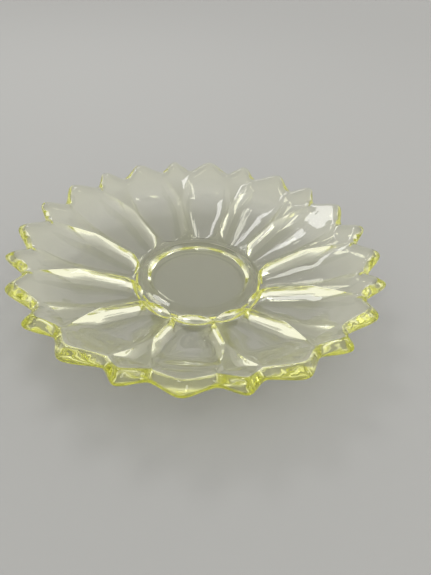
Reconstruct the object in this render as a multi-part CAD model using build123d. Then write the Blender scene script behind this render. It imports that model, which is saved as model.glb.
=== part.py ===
from build123d import *
from math import atan, cos, degrees, exp, hypot, radians, sin, sqrt, tan, tanh
import os

# Uranium glass dish: one pressed piece of glass, +Z up, resting on Z = 0, axis on Z.
# Twelve scooped petals alternate with twelve narrow back petals, and every one
# of the twenty-four runs out into a pointed tooth on the rim.

# --- overall -------------------------------------------------------------
overall_radius = 160.0          # axis to the nose of a tooth
overall_height = 52.0           # table to the raised points of the teeth
petal_count = 12                # wide petals; as many narrow ones lie between them
petal_pitch = 360.0 / petal_count

# --- well and foot -------------------------------------------------------
well_floor_z = 9.0              # upper face of the flat round well
well_floor_radius = 43.9        # the well's short sloping wall starts here ...
well_shelf_radius = 48.1        # ... and ends at a narrow shelf
well_shelf_z = 12.95
well_rim_radius = 54.5          # thin raised circle around the well
well_rim_z = 12.4
recess_z = 1.4                  # underside of the well, inside the foot ring
recess_radius = 40.0            # from here it slopes gently down to the foot ring
foot_inner_radius = 53.5        # flat ground face of the foot ring
foot_outer_radius = 57.5
foot_base_radius = 60.5         # where the foot ring's outer slope meets the underside

# --- flared wall ---------------------------------------------------------
crest_foot_radius = 59.0        # the crests between petals lie on this cone
crest_foot_z = 13.4
crest_slope = 0.3925            # rise per mm of radius, about 21 degrees
underside_start = (64.0, 3.0)   # radius, height of the smooth underside
underside_middle = (104.0, 16.2)
underside_end = (165.0, 45.0)

# --- raised lip that carries the teeth -----------------------------------
lip_slope = 0.754               # about 37 degrees, steeper than the wall
lip_tip_radius = 151.0          # the lip reaches full height at the raised points
lip_inner_radius = 124.0        # buried start of the lip inside the wall
lip_outer_radius = 165.0
lip_outer_base_z = 46.0

# --- scoops --------------------------------------------------------------
petal_start = 56.3                      # inner end of a wide petal, on its middle line
petal_nose = 42.84                      # width squared gained per mm from the round inner end
petal_nose_fade = 1.046
petal_full_half_width = 26.3            # widest half width, reached here
petal_widest = 100.0
petal_narrowing = 0.0039                # half width lost per mm squared beyond the widest place
petal_wall_run = 3.6                    # the inner end falls to the petal's depth over this run
petal_depth = 9.2                       # crest to the petal's floor
petal_lip_depth = 2.8
petal_level_end = 110.0                 # from here the floor rises towards the lip ...
petal_lip_start = 136.0                 # ... and meets it here
petal_steep_share = 0.28                # share of the depth taken by the steep band under the crests
petal_steep_gain = 0.45                 # added to it towards the lip ...
petal_steep_start = 98.0                # ... from here
petal_steep_run = 30.0
petal_overreach = 1.15                  # the scoop is drawn this much wider than the petal
petal_stations = (56.6, 57.5, 58.8, 60.5, 63, 67, 73, 80, 88, 96, 104, 112, 120, 128, 136, 146, 158)
crest_sag = 1.2                         # crests hang this much below their cone
crest_sag_radius = 105.0
crest_sag_reach = 33.0
back_scoop_apex_radius = 92.0           # the narrow petals open out from here
back_scoop_half_angle = 35.0
back_scoop_length = 90.0
back_scoop_fall = 4.0                   # degrees the scoop bites below the crest cone

# --- teeth ---------------------------------------------------------------
tooth_count = 2 * petal_count
wide_tooth_half_angle = 8.7             # petal teeth are a little wider ...
narrow_tooth_half_angle = petal_pitch / 2 - wide_tooth_half_angle
notch_depth = 12.0                      # nose radius minus notch radius
flank_power = 1.6                       # 1 would be straight flanks
tip_softness = 0.30                     # share of a flank over which the tip is rounded
tip_arc = 0.12                          # share of a flank drawn as one arc over the tip
nose_z = 48.8                           # height of the nose at a tooth's tip
nose_slope = 0.515                      # the nose line drops towards the notches
bevel_inset_tip = 9.0                   # upper bevel, nose to raised point
bevel_inset_notch = 9.5
bevel_rise_tip = overall_height - nose_z
bevel_rise_notch = 3.4
under_inset = 4.2                       # undercut below the nose
under_drop = 8.7


def crest_z(radius):
    """Height of the cone that carries the crests."""
    return crest_foot_z + crest_slope * (radius - crest_foot_radius)


def lip_z(radius):
    """Height of the lip's inner face."""
    return overall_height + lip_slope * (radius - lip_tip_radius)


def polar(radius, angle, z):
    """Point from radius, angle in degrees and height."""
    return Vector(radius * cos(radians(angle)), radius * sin(radians(angle)), z)


def plain_body():
    """Bowl before scooping: well, cone, lip slope above; smooth underside below."""
    meet_radius = lip_tip_radius - (overall_height - crest_z(lip_tip_radius)) / (lip_slope - crest_slope)
    upper = Polyline(
        (0, well_floor_z),
        (well_floor_radius, well_floor_z),
        (well_shelf_radius, well_shelf_z),
        (well_rim_radius, well_rim_z),
        (crest_foot_radius, crest_foot_z),
        (meet_radius, crest_z(meet_radius)),
        (lip_outer_radius, lip_z(lip_outer_radius)),
        underside_end,
    )
    under = ThreePointArc(underside_end, underside_middle, underside_start)
    foot = Polyline(
        underside_start,
        (foot_base_radius, underside_start[1]),
        (foot_outer_radius, 0),
        (foot_inner_radius, 0),
        (recess_radius, recess_z),
        (0, recess_z),
        (0, well_floor_z),
    )
    profile = make_face(Plane.XZ * (upper + under + foot))
    return revolve(profile, Axis.Z)


def smooth_step(share):
    """0 to 1 with level ends."""
    share = min(max(share, 0), 1)
    return share * share * (3 - 2 * share)


def petal_half_width(x):
    """Half width of a wide petal: round inner end, then half of its share of the circle, then narrower."""
    run = max(x - petal_start, 0)
    nose = sqrt(max(run * (petal_nose - petal_nose_fade * run), 0)) if run < 12 else x
    outer = petal_full_half_width - petal_narrowing * max(x - petal_widest, 0) ** 2
    return min(nose, x * tan(radians(petal_pitch / 2)), outer)


def petal_crest_z(x):
    """Height of the crests beside a wide petal's cross-section."""
    radius = hypot(x, petal_half_width(x))
    sag = crest_sag * exp(-(((radius - crest_sag_radius) / crest_sag_reach) ** 4))
    return crest_z(radius) - sag


def petal_depth_at(x):
    """Depth of a wide petal's middle below its crests."""
    fall = tanh((x - petal_start) / petal_wall_run)
    rise = smooth_step((petal_lip_start - x) / (petal_lip_start - petal_level_end))
    return fall * (petal_lip_depth + (petal_depth - petal_lip_depth) * rise)


def petal_section(x):
    """Outline of the scoop across one wide petal: shallow in the middle, steep under the crests."""
    half_width = petal_half_width(x)
    depth = petal_depth_at(x)
    steep = petal_steep_share + petal_steep_gain * smooth_step((x - petal_steep_start) / petal_steep_run)
    points = []
    for index in range(-8, 9):
        share = petal_overreach * index / 8
        rise = (1 - steep) * share**2 + steep * share**6
        points.append(Vector(x, half_width * share, petal_crest_z(x) - depth * (1 - rise)))
    left = Vector(x, points[0].Y, overall_height + 30)
    right = Vector(x, points[-1].Y, overall_height + 30)
    edges = [
        Spline(*points).edge(),
        Line(points[-1], right).edge(),
        Line(right, left).edge(),
        Line(left, points[0]).edge(),
    ]
    return Wire(edges)


def petal_scoop():
    """Solid that presses one wide petal, on the +X side."""
    return Solid.make_loft([petal_section(x) for x in petal_stations])


def back_scoop():
    """Cone that hollows one narrow petal between two wide ones, on the +X side."""
    floor_angle = degrees(atan(crest_slope)) - back_scoop_fall
    base_radius = back_scoop_length * tan(radians(back_scoop_half_angle))
    cone = Pos(0, 0, back_scoop_length / 2) * Cone(0, base_radius, back_scoop_length)
    aim = 90 - (floor_angle + back_scoop_half_angle)
    return Pos(back_scoop_apex_radius, 0, crest_z(back_scoop_apex_radius)) * Rot(0, aim, 0) * cone


def lip_ring():
    """Solid ring under the lip's inner face, closing the outer end of every scoop."""
    section = Plane.XZ * Polyline(
        (lip_inner_radius, lip_z(lip_inner_radius)),
        (lip_outer_radius, lip_z(lip_outer_radius)),
        (lip_outer_radius, lip_outer_base_z),
        close=True,
    )
    return revolve(make_face(section), Axis.Z)


def flank(step):
    """Tooth height left at a step from tip (0) to notch (1), as a fraction, with a rounded tip."""
    rounded = (hypot(step, tip_softness) - tip_softness) / (hypot(1, tip_softness) - tip_softness)
    return max(1 - rounded, 0) ** flank_power


def tooth_wire(inset_tip, inset_notch, height):
    """Closed toothed outline; height(step) gives Z along each flank."""
    notch_radius = overall_radius - notch_depth - inset_notch
    tip_radius = overall_radius - inset_tip

    def at(center, half_angle, side, step):
        radius = notch_radius + (tip_radius - notch_radius) * flank(step)
        return polar(radius, center + side * step * half_angle, height(step))

    edges = []
    for index in range(tooth_count):
        center = index * petal_pitch / 2
        if index % 2 == 0:
            here, there = wide_tooth_half_angle, narrow_tooth_half_angle
        else:
            here, there = narrow_tooth_half_angle, wide_tooth_half_angle
        following = center + petal_pitch / 2
        steps = (tip_arc, 0.4, 0.7)
        scallop = [at(center, here, 1, step) for step in steps]
        scallop.append(at(center, here, 1, 1.0))
        scallop += [at(following, there, -1, step) for step in reversed(steps)]
        rounded = ThreePointArc(
            at(center, here, -1, tip_arc),
            polar(tip_radius, center, height(0)),
            at(center, here, 1, tip_arc),
        )
        edges += [rounded.edge(), Spline(*scallop).edge()]
    return Wire(edges)


def tooth_limit():
    """Solid the dish is trimmed with: undercut, nose and upper bevel of the toothed rim."""

    def nose_height(step):
        drop = nose_slope * notch_depth * (1 - flank(step))
        return nose_z - drop

    def bevel_height(step):
        rise = bevel_rise_notch + (bevel_rise_tip - bevel_rise_notch) * flank(step)
        return nose_height(step) + rise

    wires = [
        tooth_wire(under_inset, under_inset, lambda step: -5.0),
        tooth_wire(under_inset, under_inset, lambda step: nose_height(step) - under_drop),
        tooth_wire(0, 0, nose_height),
        tooth_wire(bevel_inset_tip, bevel_inset_notch, bevel_height),
        tooth_wire(bevel_inset_tip, bevel_inset_notch, lambda step: overall_height + 10),
    ]
    return Solid.make_loft(wires, ruled=True)


def glass_dish():
    """The whole dish."""
    wide = petal_scoop()
    narrow = back_scoop()
    dish = plain_body()
    dish -= [Rot(0, 0, index * petal_pitch) * wide for index in range(petal_count)]
    dish -= [Rot(0, 0, (index + 0.5) * petal_pitch) * narrow for index in range(petal_count)]
    dish += lip_ring()
    dish &= tooth_limit()
    return dish


if __name__ == "__main__":
    os.makedirs("parts", exist_ok=True)
    dish = glass_dish()
    export_step(dish, "parts/glass_dish.step")
    box = dish.bounding_box()
    print("glass_dish", box.size, "volume cm3", dish.volume / 1000)
    print("solids", len(dish.solids()), "valid", dish.is_valid)
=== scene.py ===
from math import atan, cos, hypot, radians, sin, sqrt

import bpy
import numpy as np
from mathutils import Matrix, Vector


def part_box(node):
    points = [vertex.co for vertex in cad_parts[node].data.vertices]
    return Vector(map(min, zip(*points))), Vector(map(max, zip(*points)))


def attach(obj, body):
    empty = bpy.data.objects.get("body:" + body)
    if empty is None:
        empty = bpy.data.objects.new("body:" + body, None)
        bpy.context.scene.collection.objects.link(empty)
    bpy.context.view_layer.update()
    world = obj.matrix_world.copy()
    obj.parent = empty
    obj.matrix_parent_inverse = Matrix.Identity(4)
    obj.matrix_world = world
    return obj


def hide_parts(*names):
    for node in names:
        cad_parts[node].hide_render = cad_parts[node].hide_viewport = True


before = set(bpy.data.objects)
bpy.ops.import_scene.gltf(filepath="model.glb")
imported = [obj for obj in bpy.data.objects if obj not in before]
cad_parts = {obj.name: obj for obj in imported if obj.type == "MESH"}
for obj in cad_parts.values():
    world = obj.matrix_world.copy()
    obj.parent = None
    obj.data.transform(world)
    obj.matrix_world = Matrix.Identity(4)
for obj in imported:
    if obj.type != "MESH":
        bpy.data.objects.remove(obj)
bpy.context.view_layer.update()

# Uranium glass dish: one pressed piece of pale yellow-green glass. The dish's lengths are in millimetres and
# are turned into metres when its mesh is made. Materials, floor, lamps and camera are in metres. Angles
# round the dish are in degrees, 0 at the middle of a wide petal.

MM = 0.001
LOW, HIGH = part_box("glass_dish")

# --- whole dish ------------------------------------------------------------------------------------
CLEARANCE = 0.05                  # keeps the softened surface inside the sharp-edged solid's box
RIM_RADIUS = HIGH[0] / MM - CLEARANCE
TOP_Z = HIGH[2] / MM - CLEARANCE
PETALS = 12
PITCH = 360.0 / PETALS
HALF_PITCH = PITCH / 2

# --- well and crest cone ---------------------------------------------------------------------------
WELL_FLOOR_Z = 9.0
WELL_FLOOR_RADIUS = 43.9
WELL_SHELF_RADIUS = 48.1          # the well's short wall ends here, and a flat shelf runs on to its rim
WELL_SHELF_Z = 12.95
WELL_RIM_RADIUS = 54.5
WELL_RIM_Z = 12.4
WELL_SOFT = 0.18
BEAD_HEIGHT = 0.22                # thin raised line on the well's rim
BEAD_WIDTH = 0.6
BAND_SOFT = 0.04                  # where the band beside the bead meets the crest cone
CREST_FOOT_RADIUS = 59.0
CREST_FOOT_Z = 13.4
CREST_SLOPE = 0.3925

# --- scoops ----------------------------------------------------------------------------------------
PETAL_START = 56.3                # inner end of a wide petal, on its middle line
PETAL_NOSE = 42.84                # half width squared gained per mm from the round inner end
PETAL_NOSE_FADE = 1.046
PETAL_NOSE_RUN = 12.0             # beyond this run the round inner end no longer sets the width:
PETAL_NOSE_RISE = 8.0             # its own half width grows by this much per mm
PETAL_FULL = 26.3                 # widest half width, reached here
PETAL_WIDEST = 100.0
PETAL_NARROWING = 0.0039          # half width lost per mm squared beyond the widest place
PETAL_WALL_RUN = 3.6              # run over which the inner end falls to the petal's depth
PETAL_DEPTH = 9.2                 # crest to the petal's floor
PETAL_LIP_DEPTH = 2.8
PETAL_LEVEL_END = 110.0           # from here the floor rises towards the lip ...
PETAL_LIP_START = 136.0           # ... and meets it here
PETAL_STEEP_SHARE = 0.28          # share of the depth taken by the steep band under the crests
PETAL_STEEP_GAIN = 0.45           # added to it towards the lip ...
PETAL_STEEP_FROM = 98.0           # ... from here
PETAL_STEEP_RUN = 30.0
PETAL_SOFT = 0.3
PETAL_LEAST = 0.5                 # least half width, inside the inner end
CREST_SAG = 1.2                   # crests hang this much below their cone
CREST_SAG_RADIUS = 105.0
CREST_SAG_REACH = 33.0
BACK_APEX_RADIUS = 92.0           # the narrow petals open out from here
BACK_HALF_ANGLE = radians(35.0)
BACK_FALL = radians(4.0)          # the narrow petals' scoop bites this much below the crest cone
SHARE_LIMIT = 1.5                 # a petal's cross-section isn't followed further out than this
SCOOP_FADE = 1.5                  # run over which the scoops begin outside the well's rim

# --- lip and teeth ---------------------------------------------------------------------------------
LIP_SLOPE = 0.754
WIDE_TOOTH = 8.7                  # degrees from tip to notch
NARROW_TOOTH = HALF_PITCH - WIDE_TOOTH
NOTCH_DEPTH = 12.0
FLANK_POWER = 1.6
TIP_SOFTNESS = 0.30               # share of a flank over which the tip is rounded
NOSE_DROP = 3.2                   # from a tooth's raised point down to its nose
NOSE_SLOPE = 0.515
BEVEL_INSET = 9.2
UNDER_INSET = 4.2
UNDER_DROP = 8.7

# --- underside and foot ----------------------------------------------------------------------------
UNDER_POINTS = ((64.0, 3.0), (104.0, 16.2), (165.0, 45.0))  # radius and height, as for the foot's corners
FOOT_CORNERS = (UNDER_POINTS[0], (60.5, 3.0), (57.5, 0.0), (53.5, 0.0), (40.0, 1.4))
FOOT_ROUNDS = (1.8, 1.0, 0.8, 0.8, 2.5)  # from each corner to where its rounding starts

# --- softened, fire-polished edges -----------------------------------------------------------------
CREST_SOFT = 0.16                 # crests between the scoops
LIP_SOFT = 0.10                   # crease at the foot of the lip
TOP_ROUND = 3.2                   # from a corner to where its rounding starts
LEAST_LIP = 1.6                   # the lip keeps at least this run before its rounding, in the notches
NOSE_ROUND = 5.2
UNDER_ROUND = 3.0
# How far each rounding cuts its corner back; the corner is pushed out by as much beforehand.
TOP_PUSH = 0.25 * TOP_ROUND * (sin(atan(LIP_SLOPE)) + NOSE_DROP / BEVEL_INSET)
NOSE_PUSH = 0.25 * NOSE_ROUND * (1 + UNDER_INSET / hypot(UNDER_INSET, UNDER_DROP))
BEVEL_SLOPE = (NOSE_DROP + TOP_PUSH) / (BEVEL_INSET + NOSE_PUSH)

# --- marks of the mould; places and heights in metres ----------------------------------------------
LINE_SCALE = 26.0                 # radial lines on the petals
LINE_STRETCH = 0.6                # how fast the lines and flutes change outwards
LINE_DETAIL = 1.0
LINE_START, LINE_FULL = 0.050, 0.075
LINE_HEIGHT = 0.00013
FLUTE_SCALE = 48.0                # upright flutes round the rim
FLUTE_DETAIL = 0.0
FLUTE_START, FLUTE_FULL = 0.138, 0.146
FLUTE_HEIGHT = 0.00004
WAVE_SCALE = 45.0                 # slow waviness all over
WAVE_DETAIL = 1.0
WAVE_HEIGHT = 0.00025

# --- glass -----------------------------------------------------------------------------------------
GLASS_BASE = (1.0, 1.0, 0.98, 1)
GLASS_INDEX = 1.52
GLASS_BODY = (0.882, 0.892, 0.09, 1)  # red and green pass through the glass, blue hardly does
GLASS_DENSITY = 13.0
FOOT_ROUGHNESS = 0.3              # ground resting face of the foot ring
FOOT_GROUND_TOP = 0.00002         # the foot is ground up to this height ...
FOOT_CLEAR_FROM = 0.00006         # ... and clear from here

# --- floor, light and camera -----------------------------------------------------------------------
FLOOR_GAP = 0.0002                # keeps the foot's face and the floor apart
FLOOR_HALF_SIDE = 20.0
FLOOR_COLOR = (0.37, 0.37, 0.36, 1)
FLOOR_ROUGHNESS = 0.6
SURROUND_COLOR = (1.0, 0.99, 0.965, 1)
SURROUND_STRENGTH = 1.0
KEY_PLACE, KEY_SIZE, KEY_POWER = (-0.5, 0.75, 1.15), (0.62, 0.30), 3.0
FILL_PLACE, FILL_SIZE, FILL_POWER = (0.8, -0.3, 1.1), (0.5, 0.4), 1.6
CAMERA_PLACE = (0.0144, -0.3003, 0.2594)
CAMERA_ELEVATION, CAMERA_AZIMUTH, CAMERA_ROLL = radians(41.32), radians(89.52), radians(4.53)
CAMERA_SENSOR, CAMERA_LENS = 36.0, 25.836
CAMERA_NEAR, CAMERA_FAR = 0.01, 20.0
MOST_BOUNCES = 32                 # light crosses the glass many times before it leaves
MOST_GLOSSY_BOUNCES = 24

# --- grid ------------------------------------------------------------------------------------------
PETAL_COLUMNS = 20
PETAL_CLUSTER = 1.45              # how closely the columns crowd at a petal's middle and at its crest
BACK_COLUMNS = 8
BACK_CLUSTER = 1.1
CREST_STRIP = 0.9                 # kept for the crest's rounding where two wide petals touch
STRIP_WIDENS_FROM = 72.0          # the strip widens inwards from this radius, over the run
STRIP_WIDENS_RUN = 20.0
LEAST_RADIUS = 10.0               # nearer to the axis the strip is worked out as if it were here
NO_FLOOR = 200.0                  # height given where a scoop doesn't reach
BISECTIONS = 36
GRID_PASSES = 16
FIRST_RADIUS = 80.0               # the passes start from the columns' angles at this radius
LEAST_CREST_ANGLE = 0.4 * HALF_PITCH
INNER_END_LIMIT = BACK_APEX_RADIUS - 6.0
LIP_CREASE_LIMITS = (120.0, 152.0)
TOP_EDGE_REACH = 16.0             # the top edge lies within this run of the nose line
HEEL_LIMITS = (0.3, 1.5)          # shares of the undercut between which it meets the underside
ROW_SQUEEZE = 1.6                 # rows close up where a gap is less than this many times what they need
# Rows between two curves: distances from the first curve, distances from the second, count between.
WELL_ROWS = ((14.0,), (0.4, 0.9, 1.6, 3.2, 4.8, 5.5, 6.2, 7.2, 8.6, 9.8, 10.6, 11.4, 12.4, 14.0, 18.0), 1)
LAND_ROWS = ((0.0, 0.3, 0.7, 1.3), (0.3, 0.8, 1.5), 3)
PETAL_ROWS = ((0.0, 0.3, 0.8, 1.5, 2.4), (0.35, 0.9, 1.7), 25)
LIP_ROWS = ((0.0, 0.35, 0.9, 1.7), (0.0,), 3)
UNDERSIDE_ROWS = (0.04, 0.1, 0.17, 0.25, 0.33, 0.42, 0.51, 0.6, 0.69, 0.77, 0.85, 0.92)  # shares of its run
RECESS_ROWS = (34.0, 28.0, 20.0, 9.0)  # radii
STRAIGHT_ROWS = (0.35, 0.7)       # shares of a straight run between two rounded corners
TOP_STEPS, NOSE_STEPS, HEEL_STEPS, FOOT_STEPS = 8, 9, 5, 4  # points over each rounded corner


def soft_min(a, b, soft):
    """Smaller of a and b, rounded where they cross: half of their sum less a hyperbola."""
    return 0.5 * (a + b - np.sqrt((a - b) ** 2 + 4 * soft * soft))


def soft_max(a, b, soft):
    """Larger of a and b, rounded where they cross."""
    return -soft_min(-a, -b, soft)


def crest_cone(radius):
    """Height of the cone that carries the crests: a straight line in radius."""
    return CREST_FOOT_Z + CREST_SLOPE * (radius - CREST_FOOT_RADIUS)


def lip_cone(radius):
    """Height of the lip's steeper inner face, full at the raised points of the teeth."""
    return TOP_Z + TOP_PUSH + LIP_SLOPE * (radius - RIM_RADIUS + BEVEL_INSET)


def unscooped(radius):
    """Turned profile before scooping: flat well, short sloping wall, flat shelf, thin bead, crest cone."""
    wall_slope = (WELL_SHELF_Z - WELL_FLOOR_Z) / (WELL_SHELF_RADIUS - WELL_FLOOR_RADIUS)
    shelf_slope = (WELL_RIM_Z - WELL_SHELF_Z) / (WELL_RIM_RADIUS - WELL_SHELF_RADIUS)
    band_slope = (CREST_FOOT_Z - WELL_RIM_Z) / (CREST_FOOT_RADIUS - WELL_RIM_RADIUS)
    wall = WELL_FLOOR_Z + wall_slope * (radius - WELL_FLOOR_RADIUS)
    shelf = WELL_SHELF_Z + shelf_slope * (radius - WELL_SHELF_RADIUS)
    band = WELL_RIM_Z + band_slope * (radius - WELL_RIM_RADIUS)
    well = soft_min(soft_max(wall, np.full_like(radius, WELL_FLOOR_Z), WELL_SOFT), shelf, WELL_SOFT)
    outside = soft_max(band, crest_cone(radius), BAND_SOFT)
    bead = BEAD_HEIGHT * np.exp(-(((radius - WELL_RIM_RADIUS) / BEAD_WIDTH) ** 2))
    return np.where(radius < WELL_RIM_RADIUS, well, outside) + bead


def smooth_step(share):
    """0 to 1 with level ends: 3 share squared less 2 share cubed."""
    share = np.clip(share, 0, 1)
    return share * share * (3 - 2 * share)


def petal_half_width(x):
    """Half width of a wide petal at x along its middle line: the smallest of the round inner end (square
    root of a quadratic in the run), half of its share of the circle (proportional to x), and the widest
    half width less the square of the distance beyond the widest place."""
    run = np.clip(x - PETAL_START, 0, PETAL_NOSE_RUN)
    inner = np.sqrt(run * (PETAL_NOSE - PETAL_NOSE_FADE * run))
    inner = inner + PETAL_NOSE_RISE * np.maximum(x - PETAL_START - PETAL_NOSE_RUN, 0)
    outer = PETAL_FULL - PETAL_NARROWING * np.maximum(x - PETAL_WIDEST, 0) ** 2
    share = x * np.tan(np.radians(HALF_PITCH))
    return np.maximum(soft_min(np.minimum(inner, share), outer, PETAL_SOFT), PETAL_LEAST)


def petal_crest(x):
    """Height of the crests beside the cross-section at x: the crest cone less a sag that is deepest half
    way out."""
    radius = np.hypot(x, petal_half_width(x))
    return crest_cone(radius) - CREST_SAG * np.exp(-(((radius - CREST_SAG_RADIUS) / CREST_SAG_REACH) ** 4))


def petal_depth(x):
    """Depth of a wide petal's middle below its crests: a hyperbolic tangent from the inner end that
    holds, and rises smoothly to the lip."""
    fall = np.tanh(np.maximum(x - PETAL_START, 0) / PETAL_WALL_RUN)
    rise = smooth_step((PETAL_LIP_START - x) / (PETAL_LIP_START - PETAL_LEVEL_END))
    return fall * (PETAL_LIP_DEPTH + (PETAL_DEPTH - PETAL_LIP_DEPTH) * rise)


def petal_floor(radius, angle):
    """Height of a wide petal. Its cross-sections stand square to its middle line and rise as a mix of
    the square and the sixth power of the share of the half width, so they steepen under the crests."""
    x = radius * np.cos(np.radians(angle))
    share = np.abs(radius * np.sin(np.radians(angle))) / petal_half_width(x)
    share = np.minimum(share, SHARE_LIMIT)
    steep = PETAL_STEEP_SHARE + PETAL_STEEP_GAIN * smooth_step((x - PETAL_STEEP_FROM) / PETAL_STEEP_RUN)
    rise = (1 - steep) * share**2 + steep * share**6
    height = petal_crest(x) - petal_depth(x) * (1 - rise)
    return np.where(x > PETAL_START, height, NO_FLOOR)


def back_floor(radius, angle):
    """Height of the narrow petal: the lower side of a cone whose apex lies on the crest cone."""
    aim = atan(CREST_SLOPE) - BACK_FALL + BACK_HALF_ANGLE
    x = radius * np.cos(np.radians(angle - HALF_PITCH)) - BACK_APEX_RADIUS
    y = radius * np.sin(np.radians(angle - HALF_PITCH))
    c, s, open_2 = cos(aim), sin(aim), cos(BACK_HALF_ANGLE) ** 2
    square = s * s - open_2
    linear = 2 * x * s * c
    constant = x * x * (c * c - open_2) - open_2 * y * y
    inside = linear**2 - 4 * square * constant
    drop = -2 * constant / np.maximum(linear + np.sqrt(np.maximum(inside, 0)), 1e-9)
    floor = crest_cone(BACK_APEX_RADIUS) + drop
    return np.where((x > 0) & (inside > 0), floor, NO_FLOOR)


def top_surface(radius, angle):
    """Upper surface: the lowest of the turned profile, a wide petal, its neighbour and the narrow petal
    between them, or the lip where that is higher, with every crossing softened."""
    scooped = soft_min(petal_floor(radius, angle), petal_floor(radius, PITCH - angle), CREST_SOFT)
    scooped = soft_min(scooped, back_floor(radius, angle), CREST_SOFT)
    scooped = soft_min(scooped, unscooped(radius), CREST_SOFT)
    fade = np.clip((radius - WELL_RIM_RADIUS) / SCOOP_FADE, 0, 1)
    scooped = unscooped(radius) + fade * (scooped - unscooped(radius))
    return soft_max(scooped, lip_cone(radius), LIP_SOFT)


def solve(low, high, difference):
    """Where difference changes sign between the arrays low and high, by bisection on whole arrays."""
    sign = np.sign(difference(low))
    for _ in range(BISECTIONS):
        middle = 0.5 * (low + high)
        same = np.sign(difference(middle)) == sign
        low = np.where(same, middle, low)
        high = np.where(same, high, middle)
    return 0.5 * (low + high)


def inner_end(angle):
    """Radius at which the wide petal's scoop leaves the crest cone, near the well."""
    low = np.full_like(angle, WELL_RIM_RADIUS)
    high = np.full_like(angle, INNER_END_LIMIT)
    return solve(low, high, lambda radius: petal_floor(radius, angle) - crest_cone(radius))


def lip_crease(angle):
    """Radius at which the lip rises out of the petals."""

    def above_lip(radius):
        """Height of the scooped wall above the lip's face."""
        floor = np.minimum(petal_floor(radius, angle), back_floor(radius, angle))
        return np.minimum(floor, crest_cone(radius)) - lip_cone(radius)

    low, high = (np.full_like(angle, limit) for limit in LIP_CREASE_LIMITS)
    return solve(low, high, above_lip)


def crest_angle(radius):
    """Angle of the crest beside a wide petal. Where two wide petals touch it stays a narrow strip short
    of half the pitch, and the strip widens towards the well, where nothing has to follow it."""
    radius = np.maximum(radius, LEAST_RADIUS)
    strip = np.degrees(CREST_STRIP / radius)
    towards_well = np.clip((STRIP_WIDENS_FROM - radius) / STRIP_WIDENS_RUN, 0, 1)
    strip = strip + towards_well * (NARROW_TOOTH - strip)
    low = np.full_like(radius, LEAST_CREST_ANGLE)
    high = np.full_like(radius, HALF_PITCH)

    def petal_over_back(angle):
        """Height of the wide petal above what lies beside it."""
        beside = np.minimum(back_floor(radius, angle), crest_cone(radius))
        return petal_floor(radius, angle) - beside

    opened = np.where(radius > BACK_APEX_RADIUS, solve(low, high, petal_over_back), HALF_PITCH)
    return np.minimum(opened, HALF_PITCH - strip)


def tooth_height(angle):
    """1 at a tooth's tip and 0 at a notch: (1 - step) to a power, its tip rounded by a hyperbola."""
    step = np.where(angle < WIDE_TOOTH, angle / WIDE_TOOTH, (HALF_PITCH - angle) / NARROW_TOOTH)
    step = np.clip(step, 0, 1)
    full = sqrt(1 + TIP_SOFTNESS**2) - TIP_SOFTNESS
    rounded = (np.sqrt(step**2 + TIP_SOFTNESS**2) - TIP_SOFTNESS) / full
    return (1 - rounded) ** FLANK_POWER


def nose(angle):
    """Radius and height of the nose line's corner, before it is rounded."""
    drop = NOTCH_DEPTH * (1 - tooth_height(angle))
    return RIM_RADIUS + NOSE_PUSH - drop, TOP_Z - NOSE_DROP - NOSE_SLOPE * drop


def bevel_z(radius, angle):
    """Height of the bevel that rises inwards from the nose."""
    nose_radius, nose_height = nose(angle)
    return nose_height + (nose_radius - radius) * BEVEL_SLOPE


def top_edge(angle):
    """Radius at which the lip's inner face meets the bevel."""
    nose_radius = nose(angle)[0]

    def under_bevel(radius):
        """Height of the upper surface above the bevel."""
        return top_surface(radius, angle) - bevel_z(radius, angle)

    return solve(nose_radius - TOP_EDGE_REACH, nose_radius, under_bevel)


def underside_circle():
    """Centre radius, centre height and radius of the circle through the three underside points."""
    (x0, z0), (x1, z1), (x2, z2) = UNDER_POINTS
    matrix = 2 * np.array([[x1 - x0, z1 - z0], [x2 - x0, z2 - z0]])
    right = np.array([x1**2 - x0**2 + z1**2 - z0**2, x2**2 - x0**2 + z2**2 - z0**2])
    center_radius, center_z = np.linalg.solve(matrix, right)
    return center_radius, center_z, hypot(x0 - center_radius, z0 - center_z)


def underside(radius):
    """Height of the smooth underside: the lower part of one large circle."""
    center_radius, center_z, circle_radius = underside_circle()
    return center_z - np.sqrt(circle_radius**2 - (radius - center_radius) ** 2)


def clustered(count, strength):
    """count + 1 steps from 0 to 1, closer together at both ends, from a hyperbolic tangent."""
    even = np.linspace(-1, 1, count + 1)
    return 0.5 + 0.5 * np.tanh(strength * even) / np.tanh(strength)


def column_angles(radius):
    """Angles of the columns of half a petal at the radii that they have in a row. Columns are spread
    from the petal's middle to the crest, and from there to the narrow petal's middle."""
    crest = crest_angle(radius)
    wide = clustered(PETAL_COLUMNS, PETAL_CLUSTER)
    narrow = clustered(BACK_COLUMNS, BACK_CLUSTER)[1:]
    wide_share = np.concatenate([wide, np.ones(BACK_COLUMNS)])
    narrow_share = np.concatenate([np.zeros(PETAL_COLUMNS + 1), narrow])
    return wide_share * crest + narrow_share * (HALF_PITCH - crest)


def row_plan(near_start, near_stop, middle):
    """Rows between two curves as (distance, share, reserved): some at set distances from each curve and
    the rest evenly between. A row lies distance + share * (gap - reserved) beyond the first curve."""
    reserved = max(near_start, default=0) + max(near_stop, default=0)
    rows = [(d, 0.0, reserved) for d in near_start]
    rows += [(max(near_start, default=0), (i + 1) / (middle + 1), reserved) for i in range(middle)]
    rows += [(reserved - d, 1.0, reserved) for d in sorted(near_stop, reverse=True)]
    return rows


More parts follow.
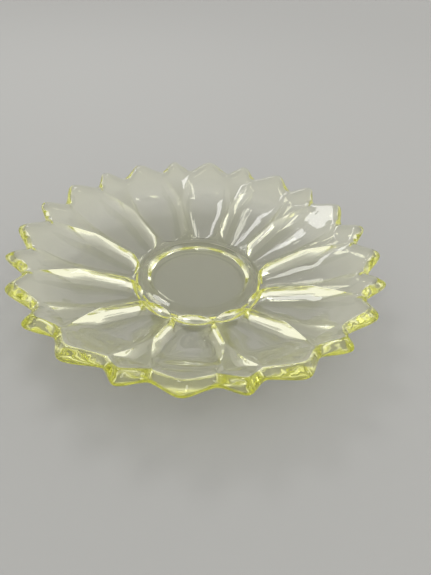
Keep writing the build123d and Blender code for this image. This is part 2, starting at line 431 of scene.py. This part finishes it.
def upper_grid():
    """Radius and angle of every point from the well to the rounding of the top edge. Rows follow the
    well's rim, the petals' inner ends, the lip's crease and the top edge, columns follow the crests,
    and each is found from the other by repeating the two steps."""
    plans = [row_plan(*rows) for rows in (WELL_ROWS, LAND_ROWS, PETAL_ROWS, LIP_ROWS)]
    block = np.concatenate([np.full(len(plan), i) for i, plan in enumerate(plans)])
    distance, share, reserved = np.array([row for plan in plans for row in plan]).T[:, :, None]
    each = np.arange(len(block))
    angle = column_angles(np.full((len(block), PETAL_COLUMNS + BACK_COLUMNS + 1), FIRST_RADIUS))
    for _ in range(GRID_PASSES):
        zero = np.zeros_like(angle)
        rim = np.full_like(angle, WELL_RIM_RADIUS)
        lip_end = top_edge(angle) - TOP_ROUND
        lip_start = np.minimum(lip_crease(angle), lip_end - LEAST_LIP)
        curves = np.stack([zero, rim, inner_end(angle), lip_start, lip_end])
        start = curves[block, each]
        gap = curves[block + 1, each] - start
        squeeze = np.minimum(1, gap / (ROW_SQUEEZE * reserved + 1e-9))
        radius = start + distance * squeeze + share * (gap - reserved * squeeze)
        angle = column_angles(radius)
    return radius, angle


def between(first, last, shares):
    """Points on the straight line from first to last."""
    return [[a + (b - a) * share for a, b in zip(first, last)] for share in shares]


def towards(start, aim, distance):
    """Point at a distance from start on the way to aim."""
    run, rise = aim[0] - start[0], aim[1] - start[1]
    length = np.hypot(run, rise)
    return [start[0] + run * distance / length, start[1] + rise * distance / length]


def rounded_corner(before, corner, after, steps):
    """Points of the quadratic curve that rounds a corner, both ends included."""
    points = []
    for share in np.linspace(0, 1, steps):
        weights = (1 - share) ** 2, 2 * share * (1 - share), share**2
        points.append([sum(w * p[i] for w, p in zip(weights, (before, corner, after))) for i in (0, 1)])
    return points


def rim_and_underside(angle):
    """Rows of radius and height from the top edge, over the nose and the undercut, and back along the
    underside to the foot. Every row keeps the columns' angles."""
    edge_radius = top_edge(angle)
    start_radius = edge_radius - TOP_ROUND
    start = [start_radius, top_surface(start_radius, angle)]
    edge = [edge_radius, bevel_z(edge_radius, angle)]
    nose_corner = list(nose(angle))
    under_low = [nose_corner[0] - NOSE_PUSH - UNDER_INSET, nose_corner[1] - UNDER_DROP]

    def above_underside(share):
        """Height above the underside of a point on the undercut."""
        point = between(nose_corner, under_low, [share])[0]
        return point[1] - underside(point[0])

    low, high = (np.full_like(angle, limit) for limit in HEEL_LIMITS)
    share = solve(low, high, above_underside)
    heel = between(nose_corner, under_low, [share])[0]
    after_heel_radius = heel[0] - UNDER_ROUND
    after_heel = [after_heel_radius, underside(after_heel_radius)]
    bevel_start = towards(edge, nose_corner, TOP_ROUND)
    bevel_end = towards(nose_corner, edge, NOSE_ROUND)
    under_start = towards(nose_corner, heel, NOSE_ROUND)
    under_end = towards(heel, nose_corner, UNDER_ROUND)
    rows = rounded_corner(start, edge, bevel_start, TOP_STEPS)[1:]
    rows += between(bevel_start, bevel_end, STRAIGHT_ROWS)
    rows += rounded_corner(bevel_end, nose_corner, under_start, NOSE_STEPS)
    rows += between(under_start, under_end, STRAIGHT_ROWS)
    rows += rounded_corner(under_end, heel, after_heel, HEEL_STEPS)
    foot_start = FOOT_CORNERS[0][0] + FOOT_ROUNDS[0]
    for share in UNDERSIDE_ROWS:
        radius = after_heel_radius + (foot_start - after_heel_radius) * share
        rows.append([radius, underside(radius)])
    return rows + foot_rows(angle)


def foot_rows(angle):
    """Rows round the foot ring and over the recess inside it: rounded corners joined by straight runs."""
    same = np.ones_like(angle)
    recess_z = FOOT_CORNERS[-1][1] * same
    corners = [[radius * same, height * same] for radius, height in FOOT_CORNERS]
    outer = (FOOT_CORNERS[0][0] + FOOT_ROUNDS[0]) * same
    chain = [[outer, underside(outer)], *corners, [0 * same, recess_z]]
    rows = []
    for i, reach in enumerate(FOOT_ROUNDS, start=1):
        before = chain[0] if i == 1 else towards(chain[i], chain[i - 1], reach)
        rows += rounded_corner(before, chain[i], towards(chain[i], chain[i + 1], reach), FOOT_STEPS)
    for radius in RECESS_ROWS:
        rows.append([radius * same, recess_z])
    return rows


def all_round(half):
    """Values of half a petal's columns mirrored into a whole petal."""
    return np.concatenate([half[:, :-1], half[:, :0:-1]], axis=1)


def dish_mesh():
    """The dish as one closed grid of rows by columns, with a fan of triangles at each end of the axis."""
    radius, angle = upper_grid()
    height = top_surface(radius, angle)
    rim_angle = angle[-1]
    lower = rim_and_underside(rim_angle)
    radius = np.vstack([radius, [row[0] for row in lower]])
    height = np.vstack([height, [row[1] for row in lower]])
    angle = np.vstack([angle, np.tile(rim_angle, (len(lower), 1))])
    petal_angle = np.concatenate([angle[:, :-1], PITCH - angle[:, :0:-1]], axis=1)
    turns = np.repeat(np.arange(PETALS) * PITCH, petal_angle.shape[1])
    full_angle = np.radians(np.tile(petal_angle, PETALS) + turns)
    full_radius = np.tile(all_round(radius), PETALS)
    full_height = np.tile(all_round(height), PETALS)
    x, y = full_radius * np.cos(full_angle), full_radius * np.sin(full_angle)
    points = np.stack([x, y, full_height], axis=-1)
    rows, columns = full_radius.shape
    poles = [[0, 0, WELL_FLOOR_Z], [0, 0, FOOT_CORNERS[-1][1]]]
    vertices = np.concatenate([points.reshape(-1, 3), poles])
    number = np.arange(rows * columns).reshape(rows, columns)
    following = np.roll(number, -1, axis=1)
    quads = np.stack([number[:-1], number[1:], following[1:], following[:-1]], axis=-1).reshape(-1, 4)
    top_pole = np.full(columns, rows * columns)
    top_fan = np.stack([top_pole, number[0], following[0]], axis=-1)
    bottom_fan = np.stack([number[-1], top_pole + 1, following[-1]], axis=-1)
    mesh = bpy.data.meshes.new("glass_dish_body")
    faces = quads.tolist() + top_fan.tolist() + bottom_fan.tolist()
    mesh.from_pydata((vertices * MM).tolist(), [], faces)
    mesh.polygons.foreach_set("use_smooth", np.ones(len(faces), dtype=bool))
    mesh.update()
    return mesh


def math_node(nodes, links, operation, first, second=None):
    """One Math node; its inputs are sockets or numbers. Returns its result."""
    node = nodes.new("ShaderNodeMath")
    node.operation = operation
    for slot, value in enumerate((first, second)):
        if isinstance(value, (int, float)):
            node.inputs[slot].default_value = value
        elif value is not None:
            links.new(value, node.inputs[slot])
    return node.outputs["Value"]


def ripple(nodes, links, place, scale, detail):
    """Noise at a place given as three sockets or numbers."""
    combine = nodes.new("ShaderNodeCombineXYZ")
    for slot, value in enumerate(place):
        if isinstance(value, (int, float)):
            combine.inputs[slot].default_value = value
        else:
            links.new(value, combine.inputs[slot])
    noise = nodes.new("ShaderNodeTexNoise")
    noise.inputs["Scale"].default_value = scale
    noise.inputs["Detail"].default_value = detail
    links.new(combine.outputs["Vector"], noise.inputs["Vector"])
    return noise.outputs["Fac"]


def rising(nodes, links, value, start, full):
    """Share of a feature that rises smoothly from 0 at start to 1 at full."""
    node = nodes.new("ShaderNodeMapRange")
    node.interpolation_type = "SMOOTHSTEP"
    node.inputs["From Min"].default_value = start
    node.inputs["From Max"].default_value = full
    links.new(value, node.inputs["Value"])
    return node.outputs["Result"]


def pressed_surface(nodes, links):
    """Height of the mould's marks in metres: faint radial lines that fan out over the petals, faint upright
    flutes round the rim, and a slow waviness all over. Returns it and the height above the table."""
    coordinates = nodes.new("ShaderNodeTexCoord")
    split = nodes.new("ShaderNodeSeparateXYZ")
    links.new(coordinates.outputs["Object"], split.inputs["Vector"])
    x, y, z = (split.outputs[name] for name in "XYZ")
    turn = math_node(nodes, links, "ARCTAN2", y, x)
    x_square = math_node(nodes, links, "MULTIPLY", x, x)
    y_square = math_node(nodes, links, "MULTIPLY", y, y)
    radius = math_node(nodes, links, "SQRT", math_node(nodes, links, "ADD", x_square, y_square))
    round_x = math_node(nodes, links, "COSINE", turn)
    round_y = math_node(nodes, links, "SINE", turn)
    slow_radius = math_node(nodes, links, "MULTIPLY", radius, LINE_STRETCH)
    lines = ripple(nodes, links, (round_x, round_y, slow_radius), LINE_SCALE, LINE_DETAIL)
    flutes = ripple(nodes, links, (round_x, round_y, slow_radius), FLUTE_SCALE, FLUTE_DETAIL)
    waves = ripple(nodes, links, (x, y, z), WAVE_SCALE, WAVE_DETAIL)
    rim = rising(nodes, links, radius, FLUTE_START, FLUTE_FULL)
    petals = math_node(nodes, links, "SUBTRACT", rising(nodes, links, radius, LINE_START, LINE_FULL), rim)
    line_height = math_node(nodes, links, "MULTIPLY", lines, LINE_HEIGHT)
    line_height = math_node(nodes, links, "MULTIPLY", line_height, petals)
    flute_height = math_node(nodes, links, "MULTIPLY", flutes, FLUTE_HEIGHT)
    flute_height = math_node(nodes, links, "MULTIPLY", flute_height, rim)
    wave_height = math_node(nodes, links, "MULTIPLY", waves, WAVE_HEIGHT)
    marks = math_node(nodes, links, "ADD", line_height, flute_height)
    return math_node(nodes, links, "ADD", marks, wave_height), z


def uranium_glass():
    """Clear glass with a pale yellow-green body colour, the faint marks of the mould and a ground foot."""
    material = bpy.data.materials.new("uranium_glass")
    material.use_nodes = True
    nodes, links = material.node_tree.nodes, material.node_tree.links
    shader = nodes["Principled BSDF"]
    shader.inputs["Base Color"].default_value = GLASS_BASE
    shader.inputs["Transmission Weight"].default_value = 1.0
    shader.inputs["IOR"].default_value = GLASS_INDEX
    height, above_table = pressed_surface(nodes, links)
    bump = nodes.new("ShaderNodeBump")
    bump.inputs["Strength"].default_value = 1.0
    bump.inputs["Distance"].default_value = 1.0
    links.new(height, bump.inputs["Height"])
    links.new(bump.outputs["Normal"], shader.inputs["Normal"])
    ground = nodes.new("ShaderNodeMapRange")
    ground.inputs["From Min"].default_value = FOOT_GROUND_TOP
    ground.inputs["From Max"].default_value = FOOT_CLEAR_FROM
    ground.inputs["To Min"].default_value = FOOT_ROUGHNESS
    ground.inputs["To Max"].default_value = 0.0
    links.new(above_table, ground.inputs["Value"])
    links.new(ground.outputs["Result"], shader.inputs["Roughness"])
    volume = nodes.new("ShaderNodeVolumeAbsorption")
    volume.inputs["Color"].default_value = GLASS_BODY
    volume.inputs["Density"].default_value = GLASS_DENSITY
    links.new(volume.outputs["Volume"], nodes["Material Output"].inputs["Volume"])
    return material


def dish():
    """The whole dish, riding on the part's one body."""
    piece = bpy.data.objects.new("glass_dish_body", dish_mesh())
    bpy.context.collection.objects.link(piece)
    piece.data.materials.append(uranium_glass())
    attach(piece, "root")
    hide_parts("glass_dish")
    return piece


def floor():
    """Plain pale floor."""
    mesh = bpy.data.meshes.new("floor")
    side, z = FLOOR_HALF_SIDE, LOW[2] - FLOOR_GAP
    corners = [(-side, -side, z), (side, -side, z), (side, side, z), (-side, side, z)]
    mesh.from_pydata(corners, [], [(0, 1, 2, 3)])
    piece = bpy.data.objects.new("floor", mesh)
    bpy.context.collection.objects.link(piece)
    material = bpy.data.materials.new("floor")
    material.use_nodes = True
    shader = material.node_tree.nodes["Principled BSDF"]
    shader.inputs["Base Color"].default_value = FLOOR_COLOR
    shader.inputs["Roughness"].default_value = FLOOR_ROUGHNESS
    piece.data.materials.append(material)


def softbox(name, place, size, power):
    """Large oval lamp at a place, facing the middle of the dish's foot."""
    lamp = bpy.data.lights.new(name, "AREA")
    lamp.shape = "ELLIPSE"
    lamp.size, lamp.size_y = size
    lamp.energy = power
    piece = bpy.data.objects.new(name, lamp)
    bpy.context.collection.objects.link(piece)
    piece.location = place
    piece.rotation_euler = (-Vector(place)).to_track_quat("-Z", "Y").to_euler()


def light():
    """Soft studio light: a pale surround and two softboxes that draw the highlights."""
    world = bpy.data.worlds.new("studio")
    bpy.context.scene.world = world
    world.use_nodes = True
    background = world.node_tree.nodes["Background"]
    background.inputs["Color"].default_value = SURROUND_COLOR
    background.inputs["Strength"].default_value = SURROUND_STRENGTH
    softbox("key", KEY_PLACE, KEY_SIZE, KEY_POWER)
    softbox("fill", FILL_PLACE, FILL_SIZE, FILL_POWER)


def camera():
    """Camera at the dish's front, 41 degrees above the table, turned slightly clockwise."""
    run = cos(CAMERA_ELEVATION)
    ahead = Vector((run * cos(CAMERA_AZIMUTH), run * sin(CAMERA_AZIMUTH), -sin(CAMERA_ELEVATION)))
    level = ahead.cross(Vector((0, 0, 1))).normalized()
    upright = level.cross(ahead)
    right = cos(CAMERA_ROLL) * level + sin(CAMERA_ROLL) * upright
    up = right.cross(ahead)
    lens = bpy.data.cameras.new("camera")
    lens.sensor_width = CAMERA_SENSOR
    lens.lens = CAMERA_LENS
    lens.clip_start, lens.clip_end = CAMERA_NEAR, CAMERA_FAR
    piece = bpy.data.objects.new("camera", lens)
    bpy.context.collection.objects.link(piece)
    rotation = Matrix((right, up, -ahead)).transposed().to_4x4()
    piece.matrix_world = Matrix.Translation(CAMERA_PLACE) @ rotation
    bpy.context.scene.camera = piece


dish()
floor()
light()
camera()
bpy.context.scene.view_settings.view_transform = "Standard"
bpy.context.scene.cycles.max_bounces = MOST_BOUNCES
bpy.context.scene.cycles.glossy_bounces = MOST_GLOSSY_BOUNCES
bpy.context.scene.cycles.transmission_bounces = MOST_BOUNCES
